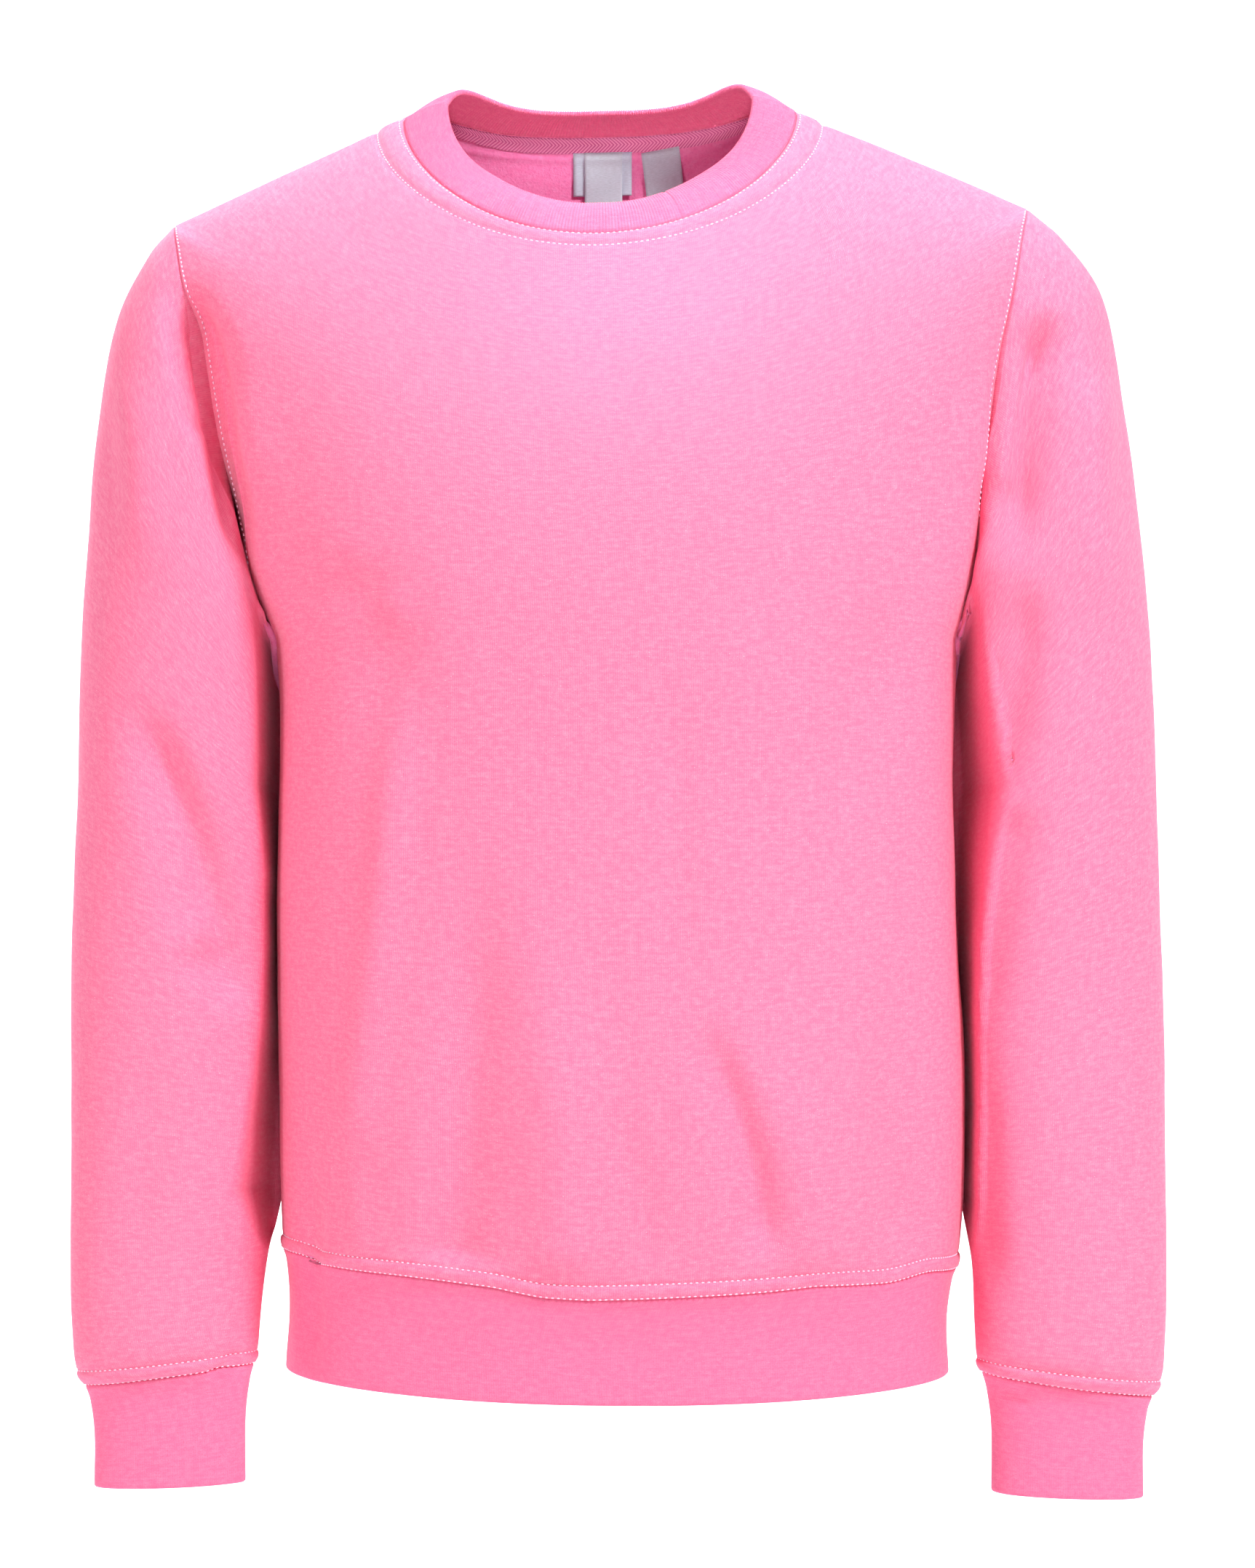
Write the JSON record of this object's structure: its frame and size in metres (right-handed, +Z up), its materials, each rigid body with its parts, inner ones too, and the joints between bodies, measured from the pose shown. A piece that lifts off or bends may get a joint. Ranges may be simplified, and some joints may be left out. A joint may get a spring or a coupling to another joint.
{
  "type": "crewneck sweatshirt",
  "caption": "Long-sleeved pullover sweatshirt with set-in sleeves, ribbed round collar, cuffs and hem band, in the open hollow form it has when worn.",
  "frame": {"origin": "middle of the wearer's shoulders, level with the neck ends of the shoulder seams and on the plane of the side and shoulder seams", "axes": "+X to the wearer's left, -Y to the wearer's front, +Z up from the hem to the neck"},
  "size_m": [0.6134, 0.2553, 0.7931],
  "materials": {
    "fleece_knit": "heathered brushed-back knit",
    "rib_knit": "heathered rib knit",
    "neck_tape": "herringbone twill tape",
    "woven_label": "bare woven label",
    "care_label": "bare soft label",
    "satin_label": "bare satin label"
  },
  "bodies": {
    "root": {"front_panel": "fleece_knit", "back_panel": "fleece_knit", "sleeve_left": "fleece_knit", "sleeve_right": "fleece_knit", "cuff_left": "rib_knit", "cuff_right": "rib_knit", "hem_band": "rib_knit", "collar": "rib_knit", "neck_tape": "neck_tape", "label_wide": "woven_label", "label_care": "care_label", "label_narrow": "satin_label"}
  },
  "joints": []
}
